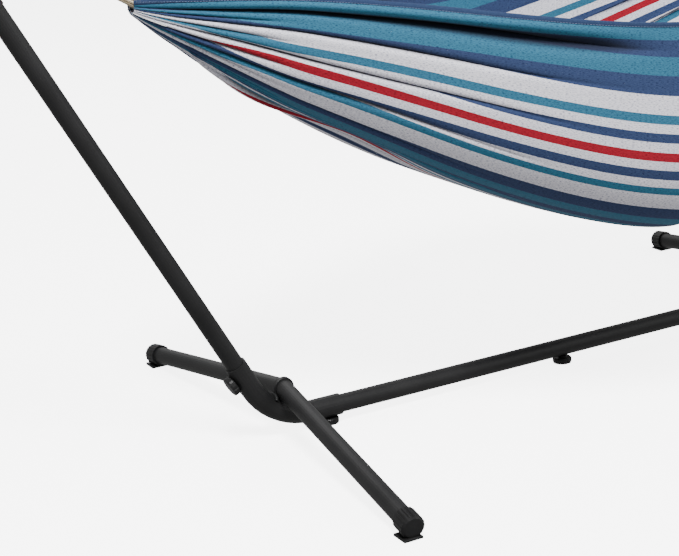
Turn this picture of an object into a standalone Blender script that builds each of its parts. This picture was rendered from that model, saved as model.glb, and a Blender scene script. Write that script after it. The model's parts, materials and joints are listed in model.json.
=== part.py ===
"""Hammock on a space-saving steel stand, at full size, in metres, +Z up.

Origin: on the floor, under the middle of the stand. X runs along the beam, Y across it.
"left" is the -X end and "right" the +X end; "front" is the -Y side and "rear" the +Y side.
Each object is one separate piece, so the stand comes apart as it does on a bench.
"""

import math

import bmesh
import bpy
from mathutils import Matrix, Vector

# Fits between pieces, and how far a cutter runs past what it cuts
SLIP = 0.0003
CUT_PAST = 0.010
CUT_WIDE = 0.200
WELD_DISTANCE = 0.00001
SHARP_ANGLE = math.radians(35)
HOLE_SIDES = 16
BEVEL_SEGMENTS = 3
HEXAGON = 6

# Tubes
TUBE_R = 0.019  # beam, feet and lower arms
TUBE_WALL = 0.0015
ELBOW_R = 0.0225  # the bent corner tube that the beam and the arm push into
UPPER_ARM_R = 0.021
SOCKET_R = TUBE_R + SLIP
TUBE_SIDES = 28
ELBOW_SIDES = 24

# Stand layout
BEAM_Z = 0.0361
CORNER_X = 0.7214  # where the beam's axis and the arm's axis meet
ARM_ANGLE = math.radians(61.72)  # arm above the horizontal
LEG_LENGTH = 0.155  # corner to each rim of the elbow
BEND_R = 0.150
BEND_STEPS = 9
INSERTION = 0.060  # how far the tubes go into the elbow
UPPER_ARM_START = 1.014  # measured along the arm from the corner
LOWER_ARM_END = 1.100
ARM_LENGTH = 1.270

# Caps that close the tops of the arms
ARM_CAP_RIM = 0.0020
ARM_CAP_RISE = 0.0065
ARM_CAP_PLUG = 0.022
ARM_CAP_WALL = 0.003
ARM_CAP_FLOOR = 0.002
DOME_STEPS = 3

# Feet
JUNCTION_X = 0.692
JUNCTION_Z = 0.1004
FOOT_SPAN = 0.5639  # half the distance between the front and the rear foot tip
FOOT_TIP_Z = 0.0244
FOOT_SPLAY = 0.045  # how far the tips stand outboard of the junction
RING_R = 0.023
RING_WIDTH = 0.010
RING_EDGE = 0.0015
SPIGOT_R = 0.0172
SPIGOT_WALL = 0.002
SPIGOT_LENGTH = 0.080
SPIGOT_SIDES = 20

# Foot caps: a ribbed cup over the tube's end, on a flat pad
CAP_R = 0.0235
CAP_START = 0.541  # along Y
CAP_END = 0.579
CAP_EDGE = 0.0045
CAP_CROWN = 0.0008
CAP_FLOOR = 0.005
CAP_RIBS = 18
CAP_GROOVE_R = 0.0022
CAP_GROOVE_SIDES = 4
CAP_GROOVE_OUTSET = 0.0006
CAP_GROOVE_STOP = 0.0030
PAD_SIZE = (0.039, 0.040, 0.0045)
PAD_CENTRE = (0.7397, 0.5605)
PAD_EDGE = 0.0015

# Thumb-screw knobs and their captive nuts
KNOB_R = 0.021
KNOB_DEPTH = 0.0133
KNOB_EDGE = 0.0020
KNOB_NECK_R = 0.009
KNOB_RIBS = 10
KNOB_SIDES = 20
KNOB_GROOVE_R = 0.0030
KNOB_GROOVE_OUTSET = 0.0012
STUD_R = 0.004
STUD_HOLE_R = 0.0045
STUD_TIP_R = 0.008  # the stud's end, measured from the tube's axis
NUT_FACE_R = 0.0154  # the nut's outer face, measured from the tube's axis
NUT_HEIGHT = 0.0065
NUT_FLATS = 0.013
ARM_KNOB_S = 0.1225  # along the arm from the corner
BEAM_KNOB_X = 0.592

# Hooks near the tops of the arms
HOOK_S = 1.165  # along the arm from the corner
HOOK_ROD_R = 0.0045
HOOK_SIDES = 12
HOOK_SHANK = 0.045  # arm's axis to the start of the crook
HOOK_CROOK_R = 0.020
HOOK_CROOK_END = math.radians(20)
HOOK_CROOK_STEPS = 10
HOOK_TIP = 0.010
TIP_R = 0.0064
TIP_RISE = 0.0045
TIP_COVER = 0.009
TIP_SIDES = 16
TIP_FIT = 0.00045  # the cover's looseness on the rod

# Rope eyes, the whippings on their necks, and the fans of clew cords
EYE_ROPE_R = 0.005
EYE_ROPE_SIDES = 10
EYE_HALF_WIDTH = 0.024  # wide enough for its bend to tilt freely on the hook's rod
EYE_LENGTH = 0.075
EYE_STEPS = 20
EYE_NARROWING = 0.35
EYE_GAP = 0.0005
WHIPPING_R = 0.012
WHIPPING_LENGTH = 0.036
WHIPPING_EDGE = 0.004
CLEW_NECK_R = 0.010
ROPE_SIDES = 20
PULL_ROUNDS = 6  # rounds in which the seat and the pull settle on each other

# Hammock bed, a sheet gathered at both ends
GATHER_X = 0.935
GATHER_Z = 0.902
GATHER_HALF_WIDTH = 0.030
GATHER_HALF_HEIGHT = 0.024
BED_HALF_WIDTH = 0.510
BED_HEM_Z = 0.8235
BED_BOTTOM_Z = 0.372
BED_THICKNESS = 0.004
BED_ROUNDING = 0.15  # how softly the sides turn at the middle of the length
BED_SQUARENESS = (5.0, 2.8)  # superellipse exponent of the section, at the middle and at the ends
HEM_CURVE = 1.25  # the hem's height along the length
KEEL_CURVE = (1.40, 0.943)  # the lowest line's height along the length
BED_STATIONS = 24
BED_ACROSS = 16

ALONG_ARM = Vector((math.cos(ARM_ANGLE), 0.0, math.sin(ARM_ANGLE)))
INBOARD_OF_ARM = Vector((-math.sin(ARM_ANGLE), 0.0, math.cos(ARM_ANGLE)))
DOWN = Vector((0.0, 0.0, -1.0))
ACROSS_STAND = (0.0, 1.0, 0.0)
UPWARDS = (0.0, 0.0, 1.0)


def start_empty():
    for old in list(bpy.data.objects):
        bpy.data.objects.remove(old, do_unlink=True)


def new_collection(name):
    made = bpy.data.collections.new(name)
    bpy.context.scene.collection.children.link(made)
    return made


def new_material(name, colour, roughness, metallic=0.0):
    made = bpy.data.materials.new(name)
    made.use_nodes = True
    shader = made.node_tree.nodes["Principled BSDF"]
    shader.inputs["Base Color"].default_value = (*colour, 1.0)
    shader.inputs["Roughness"].default_value = roughness
    shader.inputs["Metallic"].default_value = metallic
    return made


start_empty()
PARTS = new_collection("hammock_on_stand")
CUTTERS = new_collection("cutters")
PAINT = new_material("black_powder_coat", (0.028, 0.028, 0.030), 0.55)
PLASTIC = new_material("black_plastic", (0.020, 0.020, 0.021), 0.48)
ZINC = new_material("zinc_steel", (0.55, 0.55, 0.53), 0.35, 1.0)
FABRIC = new_material("striped_cotton", (0.08, 0.30, 0.40), 0.90)
ROPE = new_material("beige_rope", (0.62, 0.54, 0.40), 0.92)


def finish(item, name, material):
    """Names a piece, gives it its material and shades it smooth."""
    item.name = name
    item.data.name = name
    item.data.materials.clear()
    item.data.materials.append(material)
    item.data.shade_smooth()
    item.data.set_sharp_from_angle(angle=SHARP_ANGLE)
    return item


def as_cutter(item):
    """Moves an object to the cutters, which aren't part of the object."""
    for holder in list(item.users_collection):
        holder.objects.unlink(item)
    CUTTERS.objects.link(item)
    item.hide_render = True
    item.display_type = "WIRE"
    return item


def combine(item, other, operation):
    step = item.modifiers.new(operation.lower(), "BOOLEAN")
    step.operation = operation
    step.object = as_cutter(other)
    return item


def from_bmesh(shape, name):
    mesh = bpy.data.meshes.new(name)
    shape.to_mesh(mesh)
    shape.free()
    item = bpy.data.objects.new(name, mesh)
    PARTS.objects.link(item)
    return item


def cylinder(name, radius, bottom, top, sides, spots=((0.0, 0.0),)):
    """One closed cylinder along local Z at each spot."""
    shape = bmesh.new()
    for x, y in spots:
        bmesh.ops.create_cone(
            shape,
            cap_ends=True,
            segments=sides,
            radius1=radius,
            radius2=radius,
            depth=top - bottom,
            matrix=Matrix.Translation((x, y, (top + bottom) / 2)),
        )
    return from_bmesh(shape, name)


def ring_of_spots(radius, count):
    """Evenly spaced points on a circle, half a step round from local X."""
    angles = [math.tau * (spot + 0.5) / count for spot in range(count)]
    return [(radius * math.cos(angle), radius * math.sin(angle)) for angle in angles]


def box(name, low, high, bevel=0.0):
    centre = (Vector(low) + Vector(high)) / 2
    size = Vector(high) - Vector(low)
    shape = bmesh.new()
    bmesh.ops.create_cube(shape, size=1.0, matrix=Matrix.Translation(centre) @ Matrix.Diagonal((*size, 1.0)))
    item = from_bmesh(shape, name)
    if bevel:
        edges = item.modifiers.new("bevel", "BEVEL")
        edges.width = bevel
        edges.segments = BEVEL_SEGMENTS
    return item


def turned(name, profile, sides, closed=False):
    """A solid turned about local Z from (radius, height) points, top to bottom on its outer side."""
    shape = bmesh.new()
    points = [shape.verts.new((radius, 0.0, height)) for radius, height in profile]
    runs = list(zip(points, points[1:]))
    if closed:
        runs.append((points[-1], points[0]))
    for first, second in runs:
        shape.edges.new((first, second))
    item = from_bmesh(shape, name)
    spin = item.modifiers.new("turn", "SCREW")
    spin.steps = spin.render_steps = sides
    spin.use_merge_vertices = True
    spin.merge_threshold = 2 * WELD_DISTANCE
    spin.use_smooth_shade = True
    return item


def dome(radius, base, rise):
    """Profile points of a low dome, from its top on the axis to its rim."""
    turns = [math.pi / 2 * step / DOME_STEPS for step in range(DOME_STEPS + 1)]
    return [(radius * math.sin(turn), base + rise * math.cos(turn)) for turn in turns]


def pipe(name, bottom, top, outer, inner):
    profile = [(outer, top), (outer, bottom), (inner, bottom), (inner, top)]
    return turned(name, profile, TUBE_SIDES, closed=True)


def place(item, origin, direction, side=ACROSS_STAND):
    """Puts local Z along direction and local Y as near side as it can be."""
    z = Vector(direction).normalized()
    x = Vector(side).cross(z).normalized()
    y = z.cross(x)
    item.matrix_world = Matrix.Translation(origin) @ Matrix((x, y, z)).transposed().to_4x4()
    return item


def wire(name, points, radius, sides, cyclic=False, capped=True):
    """A round rod or rope along the points, as a mesh. A bevel has 4 + 2 * resolution sides."""
    data = bpy.data.curves.new(name, "CURVE")
    data.dimensions = "3D"
    data.bevel_depth = radius
    data.bevel_resolution = (sides - 4) // 2
    data.use_fill_caps = capped and not cyclic
    line = data.splines.new("POLY")
    line.points.add(len(points) - 1)
    line.use_cyclic_u = cyclic
    for point, spot in zip(line.points, points):
        point.co = (*spot, 1.0)
    curve = bpy.data.objects.new(name, data)
    PARTS.objects.link(curve)
    bpy.context.view_layer.update()
    mesh = bpy.data.meshes.new_from_object(curve.evaluated_get(bpy.context.evaluated_depsgraph_get()))
    shape = bmesh.new()
    shape.from_mesh(mesh)
    bmesh.ops.remove_doubles(shape, verts=shape.verts, dist=WELD_DISTANCE)
    shape.to_mesh(mesh)
    shape.free()
    item = bpy.data.objects.new(name, mesh)
    item.matrix_world = curve.matrix_world
    PARTS.objects.link(item)
    bpy.data.objects.remove(curve, do_unlink=True)
    return item


def at_end(point, side):
    """A point or direction given for the right end, moved to the end that side says."""
    return Vector((point[0] * side, point[1], point[2]))


def arm_point(along, inboard=0.0):
    """A point beside the right arm: distance along its axis from the corner, and inboard of it."""
    return Vector((CORNER_X, 0.0, BEAM_Z)) + along * ALONG_ARM + inboard * INBOARD_OF_ARM


def elbow_path(side):
    """The elbow's centre line: a leg along the beam, an arc, and a leg up the arm."""
    tangent = BEND_R * math.tan(ARM_ANGLE / 2)
    centre = Vector((CORNER_X - tangent, 0.0, BEAM_Z + BEND_R))
    path = [Vector((CORNER_X - LEG_LENGTH, 0.0, BEAM_Z))]
    for step in range(BEND_STEPS + 1):
        turn = ARM_ANGLE * step / BEND_STEPS
        path.append(centre + BEND_R * Vector((math.sin(turn), 0.0, -math.cos(turn))))
    path.append(arm_point(LEG_LENGTH))
    return [at_end(point, side) for point in path]


def stud_hole(on_axis, outward):
    """A cutter for the hole that a thumb-screw's stud goes through."""
    return place(cylinder("stud_hole", STUD_HOLE_R, 0.0, ELBOW_R + CUT_PAST, HOLE_SIDES), on_axis, outward)


def arm_knob_axis(side):
    """Where the arm's thumb-screw crosses the arm's axis, and the way it points."""
    return at_end(arm_point(ARM_KNOB_S), side), at_end(-INBOARD_OF_ARM, side)


def beam_knob_axis(side):
    return Vector((side * BEAM_KNOB_X, 0.0, BEAM_Z)), DOWN


def make_elbow(end, side):
    elbow = wire("elbow", elbow_path(side), ELBOW_R, ELBOW_SIDES, capped=False)
    wall = elbow.modifiers.new("wall", "SOLIDIFY")
    wall.thickness = ELBOW_R - SOCKET_R
    wall.offset = -1.0
    combine(elbow, stud_hole(*arm_knob_axis(side)), "DIFFERENCE")
    combine(elbow, stud_hole(*beam_knob_axis(side)), "DIFFERENCE")
    finish(elbow, end + "elbow", PAINT)


def make_beam():
    """One tube from elbow to elbow, with the three stud holes on its underside."""
    half = CORNER_X - LEG_LENGTH + INSERTION
    beam = pipe("beam", -half, half, TUBE_R, TUBE_R - TUBE_WALL)
    place(beam, (0.0, 0.0, BEAM_Z), (1.0, 0.0, 0.0))
    for x in (-BEAM_KNOB_X, 0.0, BEAM_KNOB_X):
        combine(beam, stud_hole((x, 0.0, BEAM_Z), DOWN), "DIFFERENCE")
    finish(beam, "beam_tube", PAINT)


def make_arm(end, side):
    """The lower arm, the wider upper arm that sleeves over it, and the cap in its top."""
    origin = at_end(arm_point(0.0), side)
    along = at_end(ALONG_ARM, side)
    lower = pipe("lower", LEG_LENGTH - INSERTION, LOWER_ARM_END, TUBE_R, TUBE_R - TUBE_WALL)
    combine(place(lower, origin, along), stud_hole(*arm_knob_axis(side)), "DIFFERENCE")
    finish(lower, end + "lower_arm", PAINT)
    upper = pipe("upper", UPPER_ARM_START, ARM_LENGTH, UPPER_ARM_R, SOCKET_R)
    finish(place(upper, origin, along), end + "upper_arm", PAINT)
    hollow_r = TUBE_R - ARM_CAP_WALL
    profile = [
        *dome(UPPER_ARM_R, ARM_LENGTH + ARM_CAP_RIM, ARM_CAP_RISE),
        (UPPER_ARM_R, ARM_LENGTH + SLIP),
        (TUBE_R, ARM_LENGTH + SLIP),
        (TUBE_R, ARM_LENGTH - ARM_CAP_PLUG),
        (hollow_r, ARM_LENGTH - ARM_CAP_PLUG),
        (hollow_r, ARM_LENGTH - ARM_CAP_FLOOR),
        (0.0, ARM_LENGTH - ARM_CAP_FLOOR),
    ]
    cap = turned("cap", profile, TUBE_SIDES)
    finish(place(cap, origin, along), end + "arm_cap", PLASTIC)


def foot_point(side, way, y):
    """A point on a foot tube's axis at a distance y from the centre plane."""
    share = y / FOOT_SPAN
    x = JUNCTION_X + FOOT_SPLAY * share
    return Vector((side * x, way * y, JUNCTION_Z + (FOOT_TIP_Z - JUNCTION_Z) * share))


def foot_direction(side, way):
    return (foot_point(side, way, FOOT_SPAN) - foot_point(side, way, 0.0)).normalized()


def spigots(name, side, radius, length):
    """The bent bar through the junction, towards both foot tips."""
    middle = foot_point(side, 1, 0.0)
    ends = [middle + length * foot_direction(side, way) for way in (-1, 1)]
    return wire(name, [ends[0], middle, ends[1]], radius, SPIGOT_SIDES)


def make_foot_connector(end, side):
    """The welded V-shaped connector: a spigot into each foot tube and a ring between them."""
    connector = spigots("spigots", side, SPIGOT_R, SPIGOT_LENGTH)
    half = RING_WIDTH / 2
    inside = SPIGOT_R - RING_EDGE * 2
    profile = [
        (RING_R - RING_EDGE, half),
        (RING_R, half - RING_EDGE),
        (RING_R, RING_EDGE - half),
        (RING_R - RING_EDGE, -half),
        (inside, -half),
        (inside, half),
    ]
    ring = turned("ring", profile, TUBE_SIDES, closed=True)
    place(ring, foot_point(side, 1, 0.0), ACROSS_STAND, UPWARDS)
    combine(connector, ring, "UNION")
    bore = spigots("spigot_bore", side, SPIGOT_R - SPIGOT_WALL, SPIGOT_LENGTH + CUT_PAST)
    combine(connector, bore, "DIFFERENCE")
    saddle = wire("saddle", elbow_path(side), ELBOW_R + SLIP, ELBOW_SIDES)
    combine(connector, saddle, "DIFFERENCE")
    finish(connector, end + "foot_connector", PAINT)


def make_foot_tube(name, side, way):
    """One foot tube, mitred where it meets the ring."""
    origin = foot_point(side, way, 0.0)
    along = foot_direction(side, way)
    end = CAP_END / abs(along.y) - CAP_FLOOR - SLIP
    tube = place(pipe("tube", 0.0, end, TUBE_R, TUBE_R - TUBE_WALL), origin, along, UPWARDS)
    reach = Vector((CUT_WIDE, RING_WIDTH / 2 + SLIP, CUT_WIDE))
    combine(tube, box("mitre", origin - reach, origin + reach), "DIFFERENCE")
    finish(tube, name, PAINT)


def make_foot_cap(name, side, way):
    """The ribbed cup on the foot tube's end, with its flat pad on the floor."""
    origin = foot_point(side, way, 0.0)
    along = foot_direction(side, way)
    start = CAP_START / abs(along.y)
    end = CAP_END / abs(along.y)
    profile = [
        (0.0, end),
        (CAP_R - CAP_EDGE, end - CAP_CROWN),
        (CAP_R, end - CAP_EDGE),
        (CAP_R, start),
        (0.0, start),
    ]
    cup = place(turned("cup", profile, CAP_RIBS), origin, along, UPWARDS)
    spots = ring_of_spots(CAP_R + CAP_GROOVE_OUTSET, CAP_RIBS)
    low, high = start - CUT_PAST, end - CAP_GROOVE_STOP
    grooves = cylinder("grooves", CAP_GROOVE_R, low, high, CAP_GROOVE_SIDES, spots)
    combine(cup, place(grooves, origin, along, UPWARDS), "DIFFERENCE")
    centre = Vector((side * PAD_CENTRE[0], way * PAD_CENTRE[1], 0.0))
    width, length, height = PAD_SIZE
    half = Vector((width / 2, length / 2, 0.0))
    low = centre - half + CUT_PAST * DOWN
    pad = box("pad", low, centre + half - height * DOWN, bevel=PAD_EDGE)
    combine(cup, pad, "UNION")
    bore = cylinder("bore", SOCKET_R, start - CUT_PAST, end - CAP_FLOOR, TUBE_SIDES)
    combine(cup, place(bore, origin, along, UPWARDS), "DIFFERENCE")
    wide = Vector((CUT_WIDE, CUT_WIDE, 0.0))
    combine(cup, box("below_floor", centre - wide + CUT_WIDE * DOWN, centre + wide), "DIFFERENCE")
    finish(cup, name, PLASTIC)


def make_knob(name, on_axis, outward, surface):
    """A ribbed thumb-screw on a tube of radius surface. Its face stands BEAM_Z from the tube's axis."""
    base = surface + SLIP
    head = max(base, BEAM_Z - KNOB_DEPTH)
    neck = [(KNOB_NECK_R, head), (KNOB_NECK_R, base)] if head > base else []
    profile = [
        (0.0, BEAM_Z),
        (KNOB_R - 2 * KNOB_EDGE, BEAM_Z),
        (KNOB_R - KNOB_EDGE / 2, BEAM_Z - KNOB_EDGE / 2),
        (KNOB_R, BEAM_Z - 2 * KNOB_EDGE),
        (KNOB_R, head + KNOB_EDGE),
        (KNOB_R - KNOB_EDGE, head),
        *neck,
        (STUD_R, base),
        (STUD_R, STUD_TIP_R),
        (0.0, STUD_TIP_R),
    ]
    knob = place(turned("knob", profile, KNOB_SIDES), on_axis, outward)
    spots = ring_of_spots(KNOB_R + KNOB_GROOVE_OUTSET, KNOB_RIBS)
    grooves = cylinder("grooves", KNOB_GROOVE_R, surface - CUT_PAST, BEAM_Z + CUT_PAST, HEXAGON, spots)
    combine(knob, place(grooves, on_axis, outward), "DIFFERENCE")
    finish(knob, name, PLASTIC)


def make_nut(name, on_axis, outward):
    """The captive nut that is welded inside the inner tube, under the stud's hole."""
    nut = cylinder("nut", NUT_FLATS / math.sqrt(3), NUT_FACE_R - NUT_HEIGHT, NUT_FACE_R, HEXAGON)
    place(nut, on_axis, outward)
    hole = cylinder("nut_hole", STUD_R + SLIP, 0.0, NUT_FACE_R + CUT_PAST, HOLE_SIDES)
    combine(nut, place(hole, on_axis, outward), "DIFFERENCE")
    finish(nut, name, ZINC)


def make_fixings(end, side):
    for name, axis in (("arm", arm_knob_axis(side)), ("beam", beam_knob_axis(side))):
        make_knob(end + name + "_knob", *axis, ELBOW_R)
        make_nut(end + name + "_nut", *axis)


def make_centre_foot():
    """The round foot that screws up into the middle of the beam."""
    axis = (Vector((0.0, 0.0, BEAM_Z)), DOWN)
    make_knob("centre_foot", *axis, TUBE_R)
    make_nut("centre_foot_nut", *axis)


def hook_point(along, inboard):
    """A point in the hook's plane, measured from where its shank meets the arm's axis."""
    return arm_point(HOOK_S + along, inboard)


def hook_seat(pull):
    """The point on the crook's centre line that faces the pull."""
    return hook_point(HOOK_CROOK_R, HOOK_SHANK) + HOOK_CROOK_R * pull


def pull_direction():
    """The way the right rope eye pulls: from its seat in the hook down to the gathered cloth."""
    gather = Vector((GATHER_X, 0.0, GATHER_Z))
    pull = (gather - hook_point(0.0, HOOK_SHANK)).normalized()
    for _ in range(PULL_ROUNDS):
        pull = (gather - hook_seat(pull)).normalized()
    return pull


def make_hook(end, side):
    """A rod welded to the upper arm, bent into a crook, with a plastic cover on its tip."""
    path = [hook_point(0.0, UPPER_ARM_R + SLIP), hook_point(0.0, HOOK_SHANK)]
    first_turn = -math.pi / 2
    for step in range(1, HOOK_CROOK_STEPS + 1):
        turn = first_turn + (HOOK_CROOK_END - first_turn) * step / HOOK_CROOK_STEPS
        along = HOOK_CROOK_R * (1 + math.sin(turn))
        path.append(hook_point(along, HOOK_SHANK + HOOK_CROOK_R * math.cos(turn)))
    heading = (path[-1] - path[-2]).normalized()
    tip = path[-1] + HOOK_TIP * heading
    path.append(tip)
    hook = wire("hook", [at_end(point, side) for point in path], HOOK_ROD_R, HOOK_SIDES)
    finish(hook, end + "hook", PAINT)

    sleeve_r = HOOK_ROD_R + TIP_FIT
    profile = [
        *dome(TIP_R, 0.0, TIP_RISE),
        (TIP_R, -TIP_COVER),
        (sleeve_r, -TIP_COVER),
        (sleeve_r, SLIP),
        (0.0, SLIP),
    ]
    cover = place(turned("cover", profile, TIP_SIDES), at_end(tip, side), at_end(heading, side))
    finish(cover, end + "hook_tip", PLASTIC)


def make_suspension(end, side):
    """The rope eye in the hook, the whipping that binds its neck, and the fan of clew cords."""
    pull = pull_direction()
    start = hook_seat(pull) - (HOOK_ROD_R + EYE_ROPE_R + EYE_GAP) * pull
    path = []
    for step in range(EYE_STEPS):
        turn = math.tau * step / EYE_STEPS
        along = EYE_LENGTH / 2 * (1 - math.cos(turn))
        half = EYE_HALF_WIDTH * (1.0 - EYE_NARROWING * along / EYE_LENGTH)
        path.append(start + along * pull + Vector((0.0, half * math.sin(turn), 0.0)))
    eye = wire("eye", [at_end(point, side) for point in path], EYE_ROPE_R, EYE_ROPE_SIDES, cyclic=True)
    finish(eye, end + "rope_eye", ROPE)

    neck = start + (EYE_LENGTH + EYE_ROPE_R + SLIP) * pull
    profile = [
        (0.0, WHIPPING_LENGTH),
        (CLEW_NECK_R, WHIPPING_LENGTH),
        (WHIPPING_R, WHIPPING_LENGTH - WHIPPING_EDGE),
        (WHIPPING_R, WHIPPING_EDGE),
        (CLEW_NECK_R, 0.0),
        (0.0, 0.0),
    ]
    whipping = place(turned("whipping", profile, ROPE_SIDES), at_end(neck, side), at_end(pull, side))
    finish(whipping, end + "whipping", ROPE)

    fan_start = neck + (WHIPPING_LENGTH + SLIP) * pull
    cloth_end = GATHER_X + SLIP
    fan_length = (Vector((cloth_end, 0.0, GATHER_Z)) - fan_start).length
    shape = bmesh.new()
    bmesh.ops.create_cone(
        shape,
        cap_ends=True,
        segments=ROPE_SIDES,
        radius1=CLEW_NECK_R,
        radius2=GATHER_HALF_HEIGHT,
        depth=fan_length,
        matrix=Matrix.Translation((0.0, 0.0, fan_length / 2)),
    )
    fan = place(from_bmesh(shape, "fan"), at_end(fan_start, side), at_end(pull, side))
    inner = Vector((0.0, -CUT_WIDE, GATHER_Z - CUT_WIDE))
    outer = Vector((side * cloth_end, CUT_WIDE, GATHER_Z + CUT_WIDE))
    low = [min(pair) for pair in zip(inner, outer)]
    high = [max(pair) for pair in zip(inner, outer)]
    combine(fan, box("cloth_side", low, high), "DIFFERENCE")
    finish(fan, end + "clew_cords", ROPE)


def bed_point(share_along, angle):
    """A point on the bed: share_along runs -1 to 1 from gather to gather, angle -90 to 90 degrees."""
    reach = abs(share_along)
    hem = BED_HEM_Z + (GATHER_Z + GATHER_HALF_HEIGHT - BED_HEM_Z) * reach**HEM_CURVE
    end_bottom = GATHER_Z - GATHER_HALF_HEIGHT
    keel = end_bottom - (end_bottom - BED_BOTTOM_Z) * (1 - reach ** KEEL_CURVE[0]) ** KEEL_CURVE[1]
    taper = (math.hypot(reach, BED_ROUNDING) - BED_ROUNDING) / (math.hypot(1.0, BED_ROUNDING) - BED_ROUNDING)
    half = GATHER_HALF_WIDTH + (BED_HALF_WIDTH - GATHER_HALF_WIDTH) * (1 - taper)
    middle, ends = BED_SQUARENESS
    power = 2.0 / (ends + (middle - ends) * (1 - reach))
    across = math.copysign(abs(math.sin(angle)) ** power, angle)
    down = max(math.cos(angle), 0.0) ** power
    return Vector((share_along * GATHER_X, half * across, hem - (hem - keel) * down))


def make_bed():
    """The cloth as one curved shell, open at the top, that narrows to the gathered ends."""
    shape = bmesh.new()
    rows = []
    for station in range(BED_STATIONS + 1):
        share = math.sin(math.pi / 2 * (2 * station / BED_STATIONS - 1))
        angles = [math.pi * (step / BED_ACROSS - 0.5) for step in range(BED_ACROSS + 1)]
        rows.append([shape.verts.new(bed_point(share, angle)) for angle in angles])
    for near, far in zip(rows, rows[1:]):
        for step in range(BED_ACROSS):
            shape.faces.new((near[step], near[step + 1], far[step + 1], far[step]))
    bed = from_bmesh(shape, "bed")
    cloth = bed.modifiers.new("thickness", "SOLIDIFY")
    cloth.thickness = BED_THICKNESS
    cloth.offset = -1.0
    finish(bed, "hammock_bed", FABRIC)


def main():
    make_beam()
    make_centre_foot()
    for end, side in (("left_", -1), ("right_", 1)):
        make_elbow(end, side)
        make_foot_connector(end, side)
        for row, way in (("front_", -1), ("rear_", 1)):
            make_foot_tube(end + row + "foot_tube", side, way)
            make_foot_cap(end + row + "foot_cap", side, way)
        make_arm(end, side)
        make_fixings(end, side)
        make_hook(end, side)
        make_suspension(end, side)
    make_bed()


main()
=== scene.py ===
"""Looks of the hammock on its stand: cloth, cords, finishes, floor, light and camera.

Metres, +Z up, in the CAD model's frame: X along the beam, -Y the front, left is -X.
"""

import json
import math

import bpy
import numpy as np
from mathutils import Matrix, Vector


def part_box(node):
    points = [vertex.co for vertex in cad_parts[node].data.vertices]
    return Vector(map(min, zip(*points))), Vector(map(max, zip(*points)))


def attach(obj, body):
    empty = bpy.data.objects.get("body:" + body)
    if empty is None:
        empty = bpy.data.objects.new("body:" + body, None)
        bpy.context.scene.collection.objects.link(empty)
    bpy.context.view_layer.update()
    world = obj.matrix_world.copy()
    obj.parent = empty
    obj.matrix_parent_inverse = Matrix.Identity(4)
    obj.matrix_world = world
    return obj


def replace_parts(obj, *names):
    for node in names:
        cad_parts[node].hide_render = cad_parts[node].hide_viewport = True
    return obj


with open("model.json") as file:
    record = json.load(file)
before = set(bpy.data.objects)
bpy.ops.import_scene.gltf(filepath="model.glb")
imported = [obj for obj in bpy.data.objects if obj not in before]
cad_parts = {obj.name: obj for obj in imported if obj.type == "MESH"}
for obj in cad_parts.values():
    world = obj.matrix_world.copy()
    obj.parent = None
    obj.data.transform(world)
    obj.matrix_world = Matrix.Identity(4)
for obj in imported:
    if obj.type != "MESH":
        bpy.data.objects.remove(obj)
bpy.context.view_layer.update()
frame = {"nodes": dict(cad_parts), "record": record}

# Camera
CAMERA_PLACE = (-2.1101, -2.9425, 1.3138)
CAMERA_YAW = math.radians(-27.969)
CAMERA_PITCH = math.radians(16.851)
CAMERA_ROLL = math.radians(-3.499)
SENSOR_WIDTH = 36.0
LENS = 90.8

# The cloth, before it was hung
CLOTH_WIDTH = 1.70
CLOTH_LENGTH = 2.15
CLOTH_THICKNESS = 0.0012
HEM_WIDTH = 0.010
HEM_THICKNESS = 0.0034
HEM_LAP = 0.001  # how far the hem reaches past the cloth's edge
HEM_SIDES = 12
STITCH_PLACE = 0.72  # of the hem's width, from the edge
STITCH_SPACING = 0.0055
STITCH_LENGTH = 0.0038
STITCH_R = 0.00030

# Stripes in metres, from the hem inwards. They repeat to the middle, and mirror there.
# The repeat is assumed.
NAVY = (0.034, 0.056, 0.130)
TEAL = (0.036, 0.150, 0.235)
WHITE = (0.760, 0.760, 0.800)
RED = (0.350, 0.012, 0.026)
# Painted shade: a dark colour mixed into the cloth at the bottom of its valleys, where shadow falls
PAINTED_CREASE_SHADE = (0.010, 0.012, 0.022)
STRIPES = (
    (NAVY, 0.037), (TEAL, 0.036), (NAVY, 0.033), (TEAL, 0.036), (NAVY, 0.037),
    (WHITE, 0.038), (TEAL, 0.017), (WHITE, 0.018), (NAVY, 0.019), (WHITE, 0.019), (RED, 0.017),
    (WHITE, 0.019), (NAVY, 0.019), (WHITE, 0.018), (TEAL, 0.017), (WHITE, 0.038),
)
FIRST_STRIPES_LOST = 0.040  # how much of the first stripes the hem's edge cuts off
STRIPE_WANDER = 0.0006  # how far a stripe's edge strays
STREAKS = (200.0, 900.0)  # of the heather, for each metre along and across the cloth
TWILL = 2400.0  # turn of the ribs' wave for each metre

# The shape that the cloth hangs in
HEM_LOW = 0.8155
HEM_CURVE = 3.2
SIDE_ROUNDING = 0.15
KEEL_CURVE = (1.40, 0.943)
SQUARENESS = (5.0, 2.8)
GATHER_HALF = (0.017, 0.013)  # half the width and half the height of the gathered ends
STATIONS = 240
ACROSS = 480
SECTION_POINTS = 1601  # of each section when its length is measured
EVEN_POINTS = 801  # of each section when they are spaced evenly
SEED = 7

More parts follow.
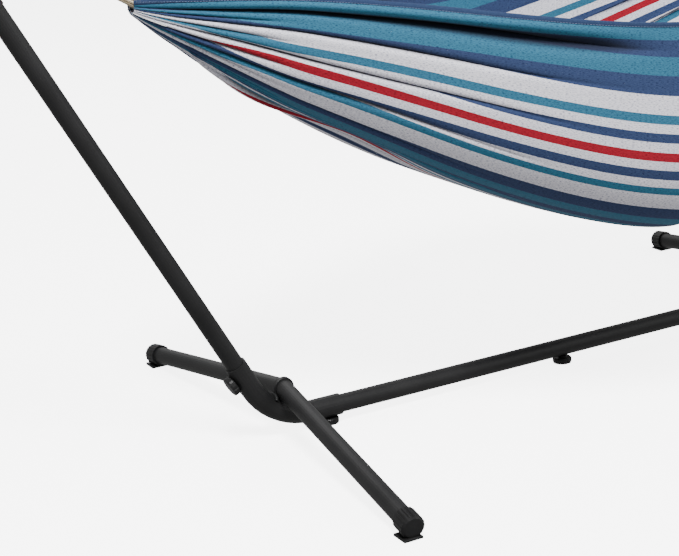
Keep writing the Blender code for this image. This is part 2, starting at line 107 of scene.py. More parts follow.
# Valleys between the folds: distance from the hem in metres, the shares of the half length between which
# each one comes in, and how much of the spare width it takes. The last one is in the middle of the cloth.
VALLEYS = (
    (0.050, 0.00, 0.50, 0.85),
    (0.129, 0.05, 0.65, 1.00),
    (0.222, 0.12, 0.68, 0.80),
    (0.314, 0.18, 0.72, 0.70),
    (0.392, 0.22, 0.78, 0.75),
    (0.478, 0.20, 0.60, 1.60),
    (0.560, 0.00, 0.40, 1.90),
    (0.640, 0.00, 0.45, 1.70),
    (0.735, 0.00, 0.45, 1.80),
    (0.850, 0.00, 0.45, 1.80),
)
REAR_HEM_TAKES = 2.6  # the same for the valley next to the rear hem
HOLLOW = (0.051, 0.017, 0.026)  # below each hem: its distance from it, its width and its depth
HEM_BULGE = (0.020, 0.014, 0.007)  # the roll above that hollow
HEM_ROLL_IN = (0.08, 0.42)  # the shares of the half length between which both come in
HEM_ROLL_OUT = (0.72, 0.97)  # and between which they go again
# Where single folds hang fuller or flatter: the place along the half length and its reach, the distance
# from the front hem and its reach, and the height
SWELLS = (
    (-0.77, 0.10, 0.692, 0.060, 0.014),
    (-0.56, 0.11, 0.650, 0.170, -0.013),
)
LATE_VALLEYS = (0.70, 0.95, 1.0)  # when one more comes in between each pair, and what it takes
VALLEY_JITTER = 0.012  # how far a valley of the rear half strays from the front one's place
VALLEY_DELAY = 0.10  # how much later it may come in
VALLEY_WOBBLE = 0.004
VALLEY_LIMIT = 0.42  # deepest valley, as a share of the section's half height or half width
FOLD_ROUNDNESS = 2.6
FOLD_DEPTH = 0.56  # of a fold, against the cloth's width that it takes up
FOLD_GIVE = 0.02  # what cloth gives with no valley beside it
MOST_SQUEEZE = 400.0
SQUEEZE_HALVINGS = 40
ARCH_STEPS = 40
CREASE_SHADE_DEPTHS = (0.0006, 0.0085)  # depths below the surface where the painted shade in a valley starts, and where it is darkest
CREASE_SHADE_MOST = 0.85  # the largest share of the painted shade colour there

# Cords at each end
CORDS = 14
CORD_R = 0.0017
CORD_STEPS = 16
CORD_SAG = 0.0015
# For every other cord: its distance from the axis at the whipping, and its share of the way out at the cloth
CORD_RINGS = ((0.0026, 0.42), (0.0062, 0.80))
CORD_REACH_IN = 0.020  # how far the cords run into the gathered cloth
TIE_LOOPS = 11
TIE_R = 0.0008
TIE_REACH = 0.052  # how far the tie loops reach in over the cloth
TIE_COLUMNS = 5  # of the cloth's columns, between a loop's way in and its way out
TIE_LIFT = 1.6  # of its radius, from the cloth's middle to a loop's axis
TIE_TURN_LIFT = 2  # the same where it turns back
THREAD_SIDES = 6  # of the tube mesh of a thread, stitch or tie
EYE_HALF_LENGTH = 0.0375
EYE_ROPE_R = 0.005
EYE_SPREAD = 1.19  # makes up for the narrowing at the widest place
EYE_NARROWING = 0.35
EYE_STEPS = 160
EYE_STRANDS = 3
EYE_STRAND_R = 0.0027
EYE_STRAND_SIDES = 10
EYE_LAY_R = 0.0024
EYE_TURNS = 9
WHIP_HALF = 0.0175
WHIP_REACH = 0.018  # from the whipping's middle to its end
WHIP_OVERLAP = 0.004  # how far the cords start inside that end
WHIP_R = 0.0104
WHIP_TAPER = 0.0012
WHIP_ENDS = 6  # how sharply it tapers at its ends
WHIP_THREAD_R = 0.0012
WHIP_THREAD_STEPS = 24  # for each turn
WHIP_CORE_R = 0.0098
WHIP_CORE_POINTS = 9
WHIP_CORE_SIDES = 24
SIDEWAYS = (0.0, 1.0, 0.0)

# Weld beads, given for the right-hand end and mirrored for the left
WELD_PLACE = (0.7259, 0.0, 0.0698)  # on the bent tube's axis, below the ring between the foot tubes
WELD_TOWARDS = (-0.50, 0.0, 0.866)  # from there to the bead
WELD_REACH = 0.0250
WELD_R = 0.0034
WELD_HALF_ANGLE = math.radians(50)
WELD_STEPS = 60
WELD_SIDES = 12
WELD_RIPPLES = 11
WELD_RIPPLE = 0.10  # their height, as a share of the bead's radius

# Floor and light
FLOOR_HALF = 20.0
FLOOR_TOP = -0.0005
FLOOR_GLOW = 5.0
LIT_PLACE = (0.0, 0.0, 0.5)
# Name, place, diameter and power
LIGHTS = (
    ("key", (-1.6, -2.6, 4.8), 1.6, 560.0),
    ("fill", (3.6, -3.0, 2.6), 4.0, 110.0),
    ("back", (0.5, 4.2, 3.6), 3.5, 90.0),
)
SKY_STRENGTH = 0.60


def smooth(low, high, value):
    """0 below low and 1 above high, with a soft step between them."""
    t = np.clip((value - low) / (high - low), 0.0, 1.0)
    return t * t * (3 - 2 * t)


def grey(value):
    return (value, value, value)


def mesh_object(name, points, faces):
    mesh = bpy.data.meshes.new(name)
    mesh.from_pydata([tuple(p) for p in points], [], faces)
    mesh.update()
    mesh.shade_smooth()
    item = bpy.data.objects.new(name, mesh)
    bpy.context.scene.collection.objects.link(item)
    return item


# ---------------------------------------------------------------- materials


class Nodes:
    """Short calls for building one material's node tree."""

    def __init__(self, name, roughness, metallic=0.0, specular=0.5):
        self.material = bpy.data.materials.new(name)
        self.material.use_nodes = True
        self.tree = self.material.node_tree
        self.shader = self.tree.nodes["Principled BSDF"]
        self.shader.inputs["Roughness"].default_value = roughness
        self.shader.inputs["Metallic"].default_value = metallic
        self.shader.inputs["Specular IOR Level"].default_value = specular

    def add(self, kind, **settings):
        node = self.tree.nodes.new("ShaderNode" + kind)
        for key, value in settings.items():
            setattr(node, key, value)
        return node

    def join(self, source, target):
        self.tree.links.new(source, target)

    def math(self, operation, first, second):
        node = self.add("Math", operation=operation)
        for socket, value in zip(node.inputs, (first, second)):
            if isinstance(value, (int, float)):
                socket.default_value = value
            else:
                self.join(value, socket)
        return node.outputs[0]

    def noise(self, vector, scale, detail=2.0):
        node = self.add("TexNoise")
        node.inputs["Scale"].default_value = scale
        node.inputs["Detail"].default_value = detail
        self.join(vector, node.inputs["Vector"])
        return node.outputs["Fac"]

    def mix(self, factor, first, second, blend="MIX"):
        node = self.add("Mix", data_type="RGBA", blend_type=blend)
        for socket, value in ((node.inputs[0], factor), (node.inputs[6], first), (node.inputs[7], second)):
            if isinstance(value, tuple):
                socket.default_value = (*value, 1.0)
            elif isinstance(value, (int, float)):
                socket.default_value = value
            else:
                self.join(value, socket)
        return node.outputs[2]

    def ramp(self, factor, stops, interpolation="LINEAR"):
        node = self.add("ValToRGB")
        node.color_ramp.interpolation = interpolation
        elements = node.color_ramp.elements
        while len(elements) < len(stops):
            elements.new(1.0)
        for element, (position, colour) in zip(elements, stops):
            element.position = position
            element.color = (*colour, 1.0)
        self.join(factor, node.inputs[0])
        return node.outputs[0]

    def bump(self, height, strength, distance):
        node = self.add("Bump")
        node.inputs["Strength"].default_value = strength
        node.inputs["Distance"].default_value = distance
        self.join(height, node.inputs["Height"])
        self.join(node.outputs[0], self.shader.inputs["Normal"])

    def vary(self, socket, factor, low, high):
        node = self.add("MapRange")
        node.inputs["To Min"].default_value = low
        node.inputs["To Max"].default_value = high
        self.join(factor, node.inputs["Value"])
        self.join(node.outputs[0], self.shader.inputs[socket])


def object_vector(made):
    return made.add("TexCoord").outputs["Object"]


def powder_coat():
    made = Nodes("powder_coat_finish", 0.5, specular=0.20)
    place = object_vector(made)
    broad = made.noise(place, scale=9.0, detail=4.0)
    grain = made.noise(place, scale=900.0)
    colour = made.ramp(broad, [(0.3, (0.009, 0.009, 0.0093)), (0.7, (0.014, 0.014, 0.0144))])
    made.join(colour, made.shader.inputs["Base Color"])
    made.vary("Roughness", broad, low=0.44, high=0.58)
    made.bump(grain, strength=0.28, distance=0.0004)
    return made.material


def moulded_plastic():
    made = Nodes("moulded_plastic_finish", 0.42, specular=0.16)
    place = object_vector(made)
    broad = made.noise(place, scale=40.0, detail=3.0)
    colour = made.ramp(broad, [(0.3, (0.007, 0.007, 0.0072)), (0.75, (0.012, 0.012, 0.0124))])
    made.join(colour, made.shader.inputs["Base Color"])
    made.vary("Roughness", broad, low=0.34, high=0.52)
    made.bump(made.noise(place, scale=1500.0), strength=0.15, distance=0.0002)
    return made.material


def zinc_plate():
    made = Nodes("zinc_finish", 0.35, metallic=1.0)
    place = object_vector(made)
    broad = made.noise(place, scale=220.0, detail=3.0)
    colour = made.ramp(broad, [(0.3, (0.45, 0.45, 0.43)), (0.7, (0.62, 0.62, 0.60))])
    made.join(colour, made.shader.inputs["Base Color"])
    made.vary("Roughness", broad, low=0.28, high=0.45)
    return made.material


def yarn_material(name, colours, scale):
    """Yarn with fine fibres, for cords and threads."""
    made = Nodes(name, 0.9, specular=0.2)
    place = object_vector(made)
    fibre = made.noise(place, scale, detail=4.0)
    made.join(made.ramp(fibre, list(zip((0.3, 0.7), colours))), made.shader.inputs["Base Color"])
    made.shader.inputs["Sheen Weight"].default_value = 0.08
    made.bump(fibre, strength=0.6, distance=0.0005)
    return made.material


def cloth_coordinates(made):
    """Distance along the cloth and across it, in metres, from its UV map."""
    split = made.add("SeparateXYZ")
    made.join(made.add("UVMap", uv_map="cloth").outputs[0], split.inputs[0])
    along = made.math("MULTIPLY", split.outputs[0], CLOTH_LENGTH)
    across = made.math("MULTIPLY", split.outputs[1], CLOTH_WIDTH)
    return along, across


def striped_cotton():
    made = Nodes("striped_cotton_weave", 0.88, specular=0.12)
    along, across = cloth_coordinates(made)
    repeat = sum(width for _, width in STRIPES)
    wander = made.math("MULTIPLY", made.noise(object_vector(made), scale=60.0), STRIPE_WANDER)
    from_hem = made.math("MINIMUM", across, made.math("SUBTRACT", CLOTH_WIDTH, across))
    shifted = made.math("ADD", made.math("ADD", from_hem, FIRST_STRIPES_LOST), wander)
    share = made.math("DIVIDE", made.math("MODULO", shifted, repeat), repeat)
    stops = []
    start = 0.0
    for colour, width in STRIPES:
        stops.append((start / repeat, colour))
        start += width
    stripes = made.ramp(share, stops, "CONSTANT")

    # Heather: pale and dark yarns mixed and streaked along the cloth, which shows most in the light stripes
    streak = made.add("CombineXYZ")
    made.join(made.math("MULTIPLY", along, STREAKS[0]), streak.inputs[0])
    made.join(made.math("MULTIPLY", across, STREAKS[1]), streak.inputs[1])
    melange = made.noise(streak.outputs[0], scale=1.0, detail=3.0)
    specks = [(0.36, (0.26, 0.27, 0.36)), (0.47, (0.88, 0.87, 0.91)), (0.60, (1.0, 0.98, 0.98))]
    fleck = made.ramp(melange, specks)
    colour = made.mix(0.95, stripes, fleck, "MULTIPLY")

    # Twill: fine diagonal ribs, and here and there a pale nep
    diagonal = made.math("ADD", made.math("MULTIPLY", along, TWILL), made.math("MULTIPLY", across, TWILL))
    twill = made.math("MULTIPLY", made.math("ADD", made.math("SINE", diagonal, 0.0), 1.0), 0.5)
    rib = made.ramp(twill, [(0.0, (0.72, 0.72, 0.74)), (0.8, grey(1.08))])
    colour = made.mix(0.55, colour, rib, "MULTIPLY")
    neps = made.noise(streak.outputs[0], scale=1.2, detail=1.0)
    neps = made.ramp(neps, [(0.79, grey(0.0)), (0.81, grey(0.50))])
    colour = made.mix(neps, colour, (0.70, 0.74, 0.80))

    # Painted shade: darker towards the bottom of each valley, where shadow gathers
    depth = made.add("Attribute", attribute_name="painted_crease_shade").outputs["Fac"]
    painted_shade = made.ramp(depth, [(0.0, grey(0.0)), (1.0, grey(CREASE_SHADE_MOST))])
    colour = made.mix(painted_shade, colour, PAINTED_CREASE_SHADE)
    made.join(colour, made.shader.inputs["Base Color"])
    made.shader.inputs["Sheen Weight"].default_value = 0.04
    made.shader.inputs["Sheen Roughness"].default_value = 0.5
    height = made.math("ADD", made.math("MULTIPLY", twill, 0.6), melange)
    made.vary("Roughness", melange, low=0.80, high=0.95)
    made.bump(height, strength=0.45, distance=0.0006)
    return made.material


def hem_cotton():
    made = Nodes("hem_weave", 0.88, specular=0.12)
    place = object_vector(made)
    yarn = made.noise(place, scale=700.0, detail=3.0)
    colour = made.ramp(yarn, [(0.3, (0.011, 0.022, 0.056)), (0.72, (0.028, 0.048, 0.105))])
    made.join(colour, made.shader.inputs["Base Color"])
    made.shader.inputs["Sheen Weight"].default_value = 0.04
    made.bump(yarn, strength=0.5, distance=0.0006)
    return made.material


FINISHES = {
    "powder_coat": powder_coat(),
    "plastic": moulded_plastic(),
    "zinc": zinc_plate(),
    "cotton": striped_cotton(),
    "hem": hem_cotton(),
    "rope": yarn_material("beige_cord", ((0.40, 0.33, 0.22), (0.68, 0.59, 0.44)), 900.0),
    "thread": yarn_material("blue_thread", ((0.10, 0.15, 0.27), (0.22, 0.28, 0.42)), 1500.0),
    "tie": yarn_material("white_cord", ((0.55, 0.54, 0.52), (0.84, 0.83, 0.80)), 1200.0),
}


def dress(item, finish, body):
    """Gives a new piece its finish and its body."""
    item.data.materials.append(FINISHES[finish])
    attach(item, body)
    return item


def dress_stand():
    """The stand's CAD nodes keep their shape and get a finish by the record's slot."""
    for part in frame["record"]["subparts"]:
        node = frame["nodes"][part["node"]]
        node.data.materials.clear()
        node.data.materials.append(FINISHES[part["material_slot"]])


# -------------------------------------------------------------------- cloth

PAST_CAD_END = 0.010  # how far each end of the cloth reaches past its CAD node, in among the cords
CLOTH_LOW, CLOTH_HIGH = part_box("hammock_bed")
HALF_LENGTH = CLOTH_HIGH.x + PAST_CAD_END
HALF_WIDTH = CLOTH_HIGH.y
GATHER_TOP = CLOTH_HIGH.z
KEEL = CLOTH_LOW.z
CAD_GATHER_HALF = 0.024  # half the height of the CAD cloth at its ends


def rounded(reach, rounding):
    """0 at the middle of the length and 1 at the ends, straight but for a rounded middle."""
    return (np.hypot(reach, rounding) - rounding) / (math.hypot(1.0, rounding) - rounding)


def hanging(share, angle):
    """Points of the hanging cloth without folds, for arrays of shares (-1 to 1) and angles."""
    reach = np.abs(share)
    middle = GATHER_TOP - CAD_GATHER_HALF
    hem = HEM_LOW + (middle + GATHER_HALF[1] - HEM_LOW) * (1 - np.clip(1 - reach**2, 0, 1) ** HEM_CURVE)
    end_bottom = middle - GATHER_HALF[1]
    keel = end_bottom - (end_bottom - KEEL) * np.clip(1 - reach ** KEEL_CURVE[0], 0, 1) ** KEEL_CURVE[1]
    half = GATHER_HALF[0] + (HALF_WIDTH - GATHER_HALF[0]) * (1 - rounded(reach, SIDE_ROUNDING))
    power = 2.0 / (SQUARENESS[1] + (SQUARENESS[0] - SQUARENESS[1]) * (1 - reach))
    out = np.sign(angle) * np.abs(np.sin(angle)) ** power
    down = np.maximum(np.cos(angle), 0.0) ** power
    parts = np.broadcast_arrays(share * HALF_LENGTH, half * out, hem - (hem - keel) * down)
    return np.stack(parts, axis=-1)


def lengths(rows):
    """Running length along each row of points."""
    steps = np.linalg.norm(np.diff(rows, axis=-2), axis=-1)
    return np.concatenate([np.zeros(steps.shape[:-1] + (1,)), np.cumsum(steps, axis=-1)], axis=-1)


def valley_list():
    """Every valley from hem to hem, as its row of VALLEYS, and the two phases of its wobble."""
    random = np.random.default_rng(SEED)
    rows = [list(valley) for valley in VALLEYS]
    for place, start, full, takes in reversed(VALLEYS[:-1]):
        shift = random.uniform(-VALLEY_JITTER, VALLEY_JITTER)
        late = random.uniform(0.0, VALLEY_DELAY)
        rows.append([CLOTH_WIDTH - place + shift, start + late, full + late, takes])
    rows[-1] = [CLOTH_WIDTH - VALLEYS[0][0], 0.0, VALLEYS[0][2], REAR_HEM_TAKES]
    rows += [[(a[0] + b[0]) / 2, *LATE_VALLEYS] for a, b in zip(rows, rows[1:])]
    rows.sort()
    return np.array(rows), random.uniform(0.0, 1.0, (len(rows), 2))


def folds(share, length, deepest, valleys, phases, flat):
    """Where each flat distance lies along the section's length, and how deep below its surface."""
    reach = abs(share)
    places, starts, fulls, takes = valleys.T
    wobble = VALLEY_WOBBLE * np.sin(math.tau * (phases[:, 0] + (1 + phases[:, 1]) * share))
    edges = np.concatenate([[0.0], places + wobble, [CLOTH_WIDTH]])
    active = np.concatenate([[0.0], smooth(starts, fulls, reach), [0.0]])
    widths = np.diff(edges)
    taken = active * np.concatenate([[0.0], takes, [0.0]])
    give = FOLD_GIVE + (taken[:-1] + taken[1:]) / 2
    low, high = 0.0, MOST_SQUEEZE
    for _ in range(SQUEEZE_HALVINGS):
        squeeze = (low + high) / 2
        low, high = (squeeze, high) if (widths * np.exp(-squeeze * give)).sum() > length else (low, squeeze)
    bases = widths * np.exp(-low * give)
    bases *= length / bases.sum()
    heights = FOLD_DEPTH * np.sqrt(np.maximum(widths**2 - bases**2, 0.0))
    heights = np.concatenate([[0.0], heights, [0.0]])
    depths = np.minimum(active * (heights[:-1] + heights[1:]) / 2, deepest)

    t = (1 - np.cos(np.linspace(0, np.pi, ARCH_STEPS + 1))) / 2
    arch = (1 - np.abs(2 * t - 1) ** FOLD_ROUNDNESS) ** (1 / FOLD_ROUNDNESS)
    starts_at = np.concatenate([[0.0], np.cumsum(bases)])
    arches = np.clip(np.searchsorted(edges, flat, side="right") - 1, 0, len(widths) - 1)
    along, sunk = np.empty_like(flat), np.empty_like(flat)
    for index in np.unique(arches):
        down = -((1 - t) * depths[index] + t * depths[index + 1]) * (1 - arch)
        run = np.concatenate([[0.0], np.cumsum(np.hypot(np.diff(t * bases[index]), np.diff(down)))])
        mine = arches == index
        part = (flat[mine] - edges[index]) / widths[index] * run[-1]
        along[mine] = starts_at[index] + np.interp(part, run, t * bases[index])
        sunk[mine] = np.interp(part, run, down)
    return along, sunk


def hem_roll(reach, flat):
    """The hollow below each hem and the roll above it, which fade in the middle and at the gathers."""
    from_hem = np.minimum(flat, CLOTH_WIDTH - flat)
    place, width, depth = HOLLOW
    rolled = -depth * np.exp(-(((from_hem - place) / width) ** 2))
    place, width, height = HEM_BULGE
    rolled += height * np.exp(-(((from_hem - place) / width) ** 2))
    return rolled * smooth(*HEM_ROLL_IN, reach) * (1 - smooth(*HEM_ROLL_OUT, reach))


def swells(share, flat):
    """How far the swells push the cloth out, or in where it is negative."""
    raised = np.zeros_like(flat)
    for place, reach, from_hem, width, height in SWELLS:
        raised += height * np.exp(-(((share - place) / reach) ** 2) - ((flat - from_hem) / width) ** 2)
    return raised


def cloth_grid():
    """The cloth's points station by station, its normals there, and how deep in a valley each point is, as
    the share of painted shade it gets.
    """
    share = np.sin(np.linspace(-1, 1, STATIONS + 1) * np.pi / 2)
    fine = np.linspace(-np.pi / 2, np.pi / 2, SECTION_POINTS)
    even = np.linspace(0, 1, EVEN_POINTS)
    rows, spans = [], []
    for section in hanging(share[:, None], fine[None, :]):
        along = lengths(section)
        spans.append(along[-1])
        rows.append(np.stack([np.interp(even * along[-1], along, section[:, k]) for k in range(3)], axis=-1))
    base = np.array(rows)
    normal = np.cross(np.gradient(base, axis=0), np.gradient(base, axis=1))
    normal /= np.maximum(np.linalg.norm(normal, axis=-1, keepdims=True), 1e-12)
    if normal[STATIONS // 2, len(even) // 2][2] > 0:
        normal = -normal

    valleys, phases = valley_list()
    flat = np.linspace(0, CLOTH_WIDTH, ACROSS + 1)
    points = np.empty((STATIONS + 1, ACROSS + 1, 3))
    out = np.empty_like(points)
    crease_shading = np.empty(points.shape[:2])
    for station, span in enumerate(spans):
        size = np.ptp(base[station], axis=0)
        deepest = VALLEY_LIMIT * min(size[1], size[2]) / 2
        along, sunk = folds(share[station], span, deepest, valleys, phases, flat)
        for k in range(3):
            points[station, :, k] = np.interp(along / span, even, base[station, :, k])
            out[station, :, k] = np.interp(along / span, even, normal[station, :, k])
        sunk += hem_roll(abs(share[station]), flat)
        # Painted shade grows with how deep the point lies in its valley
        crease_shading[station] = smooth(*CREASE_SHADE_DEPTHS, -sunk)
        sunk += swells(share[station], flat)
        points[station] += sunk[:, None] * out[station]
    return points, out, crease_shading


def grid_faces(rows, columns, closed=False):
    faces = []
    for row in range(rows - 1):
        for column in range(columns if closed else columns - 1):
            after = (column + 1) % columns
            first, second = row * columns, (row + 1) * columns
            faces.append((first + column, first + after, second + after, second + column))
    return faces


def make_cloth(points, crease_shading):
    stations, across = points.shape[:2]
    cloth = mesh_object("striped_cloth", points.reshape(-1, 3), grid_faces(stations, across))
    middle = lengths(points[:, across // 2])
    u = np.repeat(middle / middle[-1], across)
    v = np.tile(np.linspace(0, 1, across), stations)
    layer = cloth.data.uv_layers.new(name="cloth")
    corners = np.zeros(len(cloth.data.loops), np.int32)
    cloth.data.loops.foreach_get("vertex_index", corners)
    layer.data.foreach_set("uv", np.stack([u, v], axis=-1)[corners].astype(np.float32).ravel())
    # A point attribute that carries the painted shade of the valleys to the cloth's material
    painted_crease_shade = cloth.data.attributes.new("painted_crease_shade", "FLOAT", "POINT")
    painted_crease_shade.data.foreach_set("value", crease_shading.astype(np.float32).ravel())
    wall = cloth.modifiers.new("thickness", "SOLIDIFY")
    wall.thickness = CLOTH_THICKNESS
    wall.offset = 0.0
    return cloth


def tube_rows(line, radii, sides, up):
    """Rings of an oval tube along a line. The two radii are across the direction up and along it."""
    line = np.array(line, float)
    heading = np.gradient(line, axis=0)
    heading /= np.linalg.norm(heading, axis=1, keepdims=True)
    up = np.broadcast_to(np.array(up, float), line.shape)
    side = np.cross(heading, up)
    side /= np.maximum(np.linalg.norm(side, axis=1, keepdims=True), 1e-12)
    top = np.cross(side, heading)
    turn = np.linspace(0, 2 * np.pi, sides, endpoint=False)[None, :, None]
    return line[:, None] + radii[0] * np.cos(turn) * side[:, None] + radii[1] * np.sin(turn) * top[:, None]


def tubes(name, runs):
    """One mesh of closed tubes, each given as its rings."""
    points, faces = [], []
    for rings in runs:
        count, sides = rings.shape[:2]
        start = len(points)
        points.extend(rings.reshape(-1, 3))
        faces.extend(tuple(start + i for i in face) for face in grid_faces(count, sides, closed=True))
        faces.append(tuple(start + i for i in reversed(range(sides))))
        faces.append(tuple(start + (count - 1) * sides + i for i in range(sides)))
    return mesh_object(name, points, faces)


def make_hem(name, edge, inner):
    """The rolled hem round one long edge, from the edge's points and points a little way in."""
    inward = inner - edge
    inward /= np.linalg.norm(inward, axis=1, keepdims=True)
    middle = edge + inward * (HEM_WIDTH / 2 - HEM_LAP)
    heading = np.gradient(middle, axis=0)
    flat = np.cross(heading, inward)
    flat /= np.linalg.norm(flat, axis=1, keepdims=True)
    return tubes(name, [tube_rows(middle, (HEM_WIDTH / 2, HEM_THICKNESS / 2), HEM_SIDES, flat)])


def make_stitches(name, line, normal):
    """A row of stitches that stand on both faces of the hem."""
    along = lengths(line)
    runs = []
    for start in np.arange(STITCH_SPACING, along[-1] - STITCH_SPACING, STITCH_SPACING):
        thirds = [start + STITCH_LENGTH / 3, start + 2 * STITCH_LENGTH / 3]
        at = np.array([start, *thirds, start + STITCH_LENGTH])
        spot = np.stack([np.interp(at, along, line[:, k]) for k in range(3)], axis=-1)
        out = np.stack([np.interp(at, along, normal[:, k]) for k in range(3)], axis=-1)
        lift = np.array([0.2, 1.0, 1.0, 0.2])[:, None] * STITCH_R
        for face in (-1, 1):
            stitch = spot + face * out * (HEM_THICKNESS / 2 + lift)
            runs.append(tube_rows(stitch, (STITCH_R, STITCH_R), THREAD_SIDES, out))
    return tubes(name, runs)


def make_tie_loops(name, points, normal):
    """White cords that run in over the first centimetres of the cloth, from its first row, and turn back."""
    depth_in = np.abs(np.abs(points[:, 0, 0]) - HALF_LENGTH)
    last = int(np.searchsorted(depth_in, TIE_REACH))
    runs = []
    for loop in range(TIE_LOOPS):
        column = round((loop + 0.5) / TIE_LOOPS * ACROSS)
        other = min(column + TIE_COLUMNS, ACROSS)
        way_in = points[:last, column] + (TIE_LIFT * TIE_R) * normal[:last, column]
        way_out = points[:last, other] + (TIE_LIFT * TIE_R) * normal[:last, other]
        turn = (points[last, column] + points[last, other]) / 2
        turn = turn + (TIE_TURN_LIFT * TIE_R) * normal[last, column]
        line = np.vstack([way_in, turn[None], way_out[::-1]])
        runs.append(tube_rows(line, (TIE_R, TIE_R), THREAD_SIDES, normal[0, column]))
    return tubes(name, runs)


def make_bed():
    points, normal, crease_shading = cloth_grid()
    cloth = make_cloth(points, crease_shading)
    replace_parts(dress(cloth, "cotton", "hammock"), "hammock_bed")
    inset = max(1, round(HEM_WIDTH / CLOTH_WIDTH * ACROSS))
    for name, edge, inner in (("front", 0, inset), ("rear", ACROSS, ACROSS - inset)):
        hem = make_hem(name + "_hem", points[:, edge], points[:, inner])
        dress(hem, "hem", "hammock")
        line = points[:, edge] + (points[:, inner] - points[:, edge]) * STITCH_PLACE
        stitches = make_stitches(name + "_hem_stitching", line, normal[:, inner])
        dress(stitches, "thread", "hammock")
    for end, step in (("left", 1), ("right", -1)):
        ties = make_tie_loops(end + "_tie_loops", points[::step], normal[::step])
        dress(ties, "tie", "hammock")


# -------------------------------------------------------------------- cords


def side_of(end):
    return -1.0 if end == "left_" else 1.0


def middle_of(node):
    low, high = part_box(node)
    return (low + high) / 2


def end_axis(end):
    """The middles of an end's whipping and rope eye, and the way from the eye towards the cloth."""
    whip = middle_of(end + "whipping")
    eye = middle_of(end + "rope_eye")
    return whip, eye, (whip - eye).normalized()


def curve_object(name, line, radius):
    data = bpy.data.curves.new(name, "CURVE")
    data.dimensions = "3D"
    data.bevel_depth = radius
    data.bevel_resolution = 3
    data.use_fill_caps = True
    spline = data.splines.new("POLY")
    spline.points.add(len(line) - 1)
    for point, spot in zip(spline.points, line):
        point.co = (*spot, 1.0)
    item = bpy.data.objects.new(name, data)
    bpy.context.scene.collection.objects.link(item)
    return item


def make_cords(end):
    """The fan of cords from the whipping to the gathered cloth."""
    whip, _, pull = end_axis(end)
    start = whip + pull * (WHIP_REACH - WHIP_OVERLAP)
    gather = Vector((side_of(end) * (HALF_LENGTH - CORD_REACH_IN), 0.0, GATHER_TOP - CAD_GATHER_HALF))
    cross = Vector(SIDEWAYS)
    rise = pull.cross(cross).normalized()
    sag = Vector((0.0, 0.0, -CORD_SAG))
    for index in range(CORDS):
        turn = math.tau * (index + 0.5) / CORDS
        narrow, wide = CORD_RINGS[index % 2]
        near = start + narrow * (math.cos(turn) * cross + math.sin(turn) * rise)
        far = gather + wide * Vector((0.0, GATHER_HALF[0] * math.cos(turn), GATHER_HALF[1] * math.sin(turn)))
        line = []
        for step in range(CORD_STEPS + 1):
            t = step / CORD_STEPS
            line.append(near.lerp(far, t) + 4 * t * (1 - t) * sag)
        item = curve_object(f"{end}cord_{index + 1}", line, CORD_R)
        dress(item, "rope", "hammock")
        if index == 0:
            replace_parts(item, end + "clew_cords")


def make_eye(end):
    """The rope eye as three strands laid round each other."""
    _, centre, pull = end_axis(end)
    low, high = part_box(end + "rope_eye")
    cross = np.array(SIDEWAYS)
    pull = np.array(pull)
    centre = np.array(centre)
    half_width = (high.y - low.y) / 2 - EYE_ROPE_R
    turn = np.linspace(0, 2 * np.pi, EYE_STEPS + 1)
    narrowing = 1 - EYE_NARROWING * (1 - np.cos(turn)) / 2
    sideways = half_width * EYE_SPREAD * narrowing * np.sin(turn)
    path = centre - EYE_HALF_LENGTH * np.cos(turn)[:, None] * pull + sideways[:, None] * cross
    heading = np.gradient(path[:-1], axis=0)
    heading = np.vstack([heading, heading[:1]])
    heading /= np.linalg.norm(heading, axis=1, keepdims=True)
    flat = np.cross(pull, cross)
    out = np.cross(heading, flat)
    runs = []
    for strand in range(EYE_STRANDS):
        lay = EYE_TURNS * turn + strand * 2 * np.pi / EYE_STRANDS
        line = path + EYE_LAY_R * (np.cos(lay)[:, None] * flat + np.sin(lay)[:, None] * out)
        runs.append(tube_rows(line, (EYE_STRAND_R, EYE_STRAND_R), EYE_STRAND_SIDES, flat))
    eye = tubes(end + "twisted_eye", runs)
    dress(eye, "rope", "hammock")
    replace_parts(eye, end + "rope_eye")


def make_whipping(end):
    """A thread wound tightly round the neck of the cords, over a core."""
    whip, _, pull = end_axis(end)
    cross = np.array(SIDEWAYS)
    pull = np.array(pull)
    rise = np.cross(pull, cross)
    turns = round(2 * WHIP_HALF / (2 * WHIP_THREAD_R))
    t = np.linspace(0, 1, turns * WHIP_THREAD_STEPS + 1)
    radius = WHIP_R - WHIP_TAPER * np.abs(2 * t - 1) ** WHIP_ENDS
    angle = 2 * np.pi * turns * t
    along = (2 * t - 1) * (WHIP_HALF - WHIP_THREAD_R)
    centre = np.array(whip)
    round_it = np.cos(angle)[:, None] * cross + np.sin(angle)[:, None] * rise
    line = centre + along[:, None] * pull + radius[:, None] * round_it
    core_line = centre + np.linspace(-WHIP_HALF, WHIP_HALF, WHIP_CORE_POINTS)[:, None] * pull
    thread = tube_rows(line, (WHIP_THREAD_R, WHIP_THREAD_R), THREAD_SIDES, pull)
    core = tube_rows(core_line, (WHIP_CORE_R, WHIP_CORE_R), WHIP_CORE_SIDES, cross)
    whipping = tubes(end + "wound_whipping", [thread, core])
    dress(whipping, "rope", "hammock")
    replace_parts(whipping, end + "whipping")


def make_weld(end):
    """The weld bead between the bent tube and the ring, rippled along its length."""
    mirror = (side_of(end), 1.0, 1.0)
    centre = np.array(WELD_PLACE) * mirror
    towards = np.array(WELD_TOWARDS) * mirror
    across = np.array(SIDEWAYS)
    angle = np.linspace(-WELD_HALF_ANGLE, WELD_HALF_ANGLE, WELD_STEPS + 1)[:, None]
    line = centre + WELD_REACH * (np.cos(angle) * towards + np.sin(angle) * across)
    rings = tube_rows(line, (WELD_R, WELD_R), WELD_SIDES, towards)
    ripple = 1 + WELD_RIPPLE * np.abs(np.sin(WELD_RIPPLES * np.pi * np.linspace(0, 1, WELD_STEPS + 1)))
    rings = line[:, None] + (rings - line[:, None]) * ripple[:, None, None]
    dress(tubes(end + "weld_bead", [rings]), "powder_coat", "stand")


# -------------------------------------------------- floor, light and camera


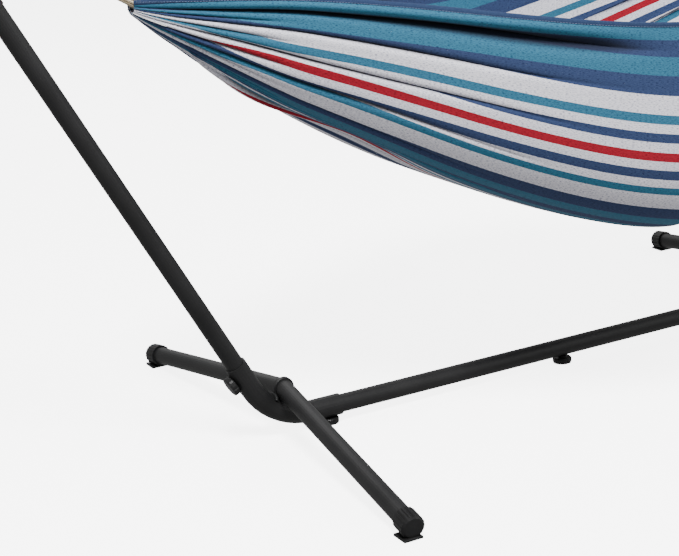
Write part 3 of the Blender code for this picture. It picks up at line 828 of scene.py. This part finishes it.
def make_floor():
    """A pale floor whose glow the object neither reflects nor is lit by."""
    corners = [(x * FLOOR_HALF, y * FLOOR_HALF, FLOOR_TOP) for x, y in ((-1, -1), (1, -1), (1, 1), (-1, 1))]
    floor = mesh_object("floor", corners, [(0, 1, 2, 3)])
    made = Nodes("pale_floor", 0.75)
    made.shader.inputs["Base Color"].default_value = (0.93, 0.93, 0.93, 1.0)
    made.shader.inputs["Emission Color"].default_value = (1.0, 1.0, 1.0, 1.0)
    made.shader.inputs["Emission Strength"].default_value = FLOOR_GLOW
    floor.data.materials.append(made.material)
    floor.visible_diffuse = False
    floor.visible_glossy = False


def area_light(name, place, size, power):
    data = bpy.data.lights.new(name, "AREA")
    data.shape = "DISK"
    data.size = size
    data.energy = power
    light = bpy.data.objects.new(name, data)
    light.location = place
    light.rotation_euler = (Vector(LIT_PLACE) - Vector(place)).to_track_quat("-Z", "Y").to_euler()
    bpy.context.scene.collection.objects.link(light)


def make_lights():
    for name, place, size, power in LIGHTS:
        area_light(name, place, size, power)
    world = bpy.context.scene.world or bpy.data.worlds.new("studio")
    bpy.context.scene.world = world
    world.use_nodes = True
    sky = world.node_tree.nodes["Background"]
    sky.inputs["Color"].default_value = (1.0, 1.0, 1.0, 1.0)
    sky.inputs["Strength"].default_value = SKY_STRENGTH


def make_camera():
    yaw, pitch, roll = CAMERA_YAW, CAMERA_PITCH, CAMERA_ROLL
    right = Vector((math.cos(yaw), math.sin(yaw), 0.0))
    ahead = Vector((-math.sin(yaw) * math.cos(pitch), math.cos(yaw) * math.cos(pitch), -math.sin(pitch)))
    up = right.cross(ahead)
    rolled_right = math.cos(roll) * right + math.sin(roll) * up
    rolled_up = -math.sin(roll) * right + math.cos(roll) * up
    data = bpy.data.cameras.new("camera")
    data.sensor_width = SENSOR_WIDTH
    data.lens = LENS
    camera = bpy.data.objects.new("camera", data)
    turn = Matrix((rolled_right, rolled_up, -ahead)).transposed().to_4x4()
    camera.matrix_world = Matrix.Translation(CAMERA_PLACE) @ turn
    bpy.context.scene.collection.objects.link(camera)
    bpy.context.scene.camera = camera


make_camera()
for which_end in ("left_", "right_"):
    make_cords(which_end)
    make_eye(which_end)
    make_whipping(which_end)
    make_weld(which_end)
dress_stand()
make_bed()
make_floor()
make_lights()
bpy.context.view_layer.update()
